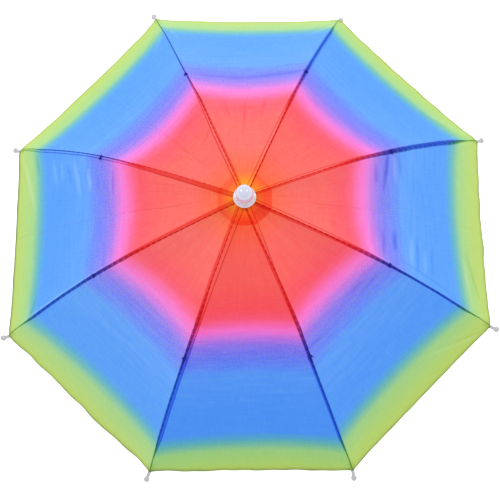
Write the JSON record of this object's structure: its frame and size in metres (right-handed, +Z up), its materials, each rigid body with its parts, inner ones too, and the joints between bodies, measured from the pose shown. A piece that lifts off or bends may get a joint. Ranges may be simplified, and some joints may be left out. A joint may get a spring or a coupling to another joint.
{
  "type": "umbrella hat",
  "caption": "Open umbrella hat: shallow canopy of sewn cloth gores on wire ribs with ball tips, a knob on top and an elastic headband hung below.",
  "frame": {"origin": "on the hat's axis, at the height of the lowest points of the rib tips", "axes": "+Z up along the axis to the cap, +X through the middle of gore_1, -Y towards the front of the picture"},
  "size_m": [0.4918, 0.4918, 0.1544],
  "materials": {
    "cover_cloth": "thin plain-woven cloth, slightly shiny, printed in soft bands from yellow at the middle through red, pink and blue to green",
    "patch_cloth": "thin plain-woven cloth in orange red",
    "band_elastic": "matt knitted elastic, white",
    "steel_wire": "bright plated wire",
    "white_plastic": "smooth glossy moulded plastic, white"
  },
  "bodies": {
    "root": {"gore_1": "cover_cloth", "gore_2": "cover_cloth", "gore_3": "cover_cloth", "gore_4": "cover_cloth", "gore_5": "cover_cloth", "gore_6": "cover_cloth", "gore_7": "cover_cloth", "gore_8": "cover_cloth", "rib_1": "steel_wire", "rib_2": "steel_wire", "rib_3": "steel_wire", "rib_4": "steel_wire", "rib_5": "steel_wire", "rib_6": "steel_wire", "rib_7": "steel_wire", "rib_8": "steel_wire", "rib_tip_1": "white_plastic", "rib_tip_2": "white_plastic", "rib_tip_3": "white_plastic", "rib_tip_4": "white_plastic", "rib_tip_5": "white_plastic", "rib_tip_6": "white_plastic", "rib_tip_7": "white_plastic", "rib_tip_8": "white_plastic", "stretcher_1": "steel_wire", "stretcher_2": "steel_wire", "stretcher_3": "steel_wire", "stretcher_4": "steel_wire", "stretcher_5": "steel_wire", "stretcher_6": "steel_wire", "stretcher_7": "steel_wire", "stretcher_8": "steel_wire", "band_hanger_1": "white_plastic", "band_hanger_2": "white_plastic", "band_hanger_3": "white_plastic", "band_hanger_4": "white_plastic", "band_hanger_5": "white_plastic", "band_hanger_6": "white_plastic", "band_hanger_7": "white_plastic", "band_hanger_8": "white_plastic", "centre_patch": "patch_cloth", "headband": "band_elastic", "post": "steel_wire", "top_cap": "white_plastic", "notch": "white_plastic", "runner": "white_plastic"}
  },
  "joints": []
}
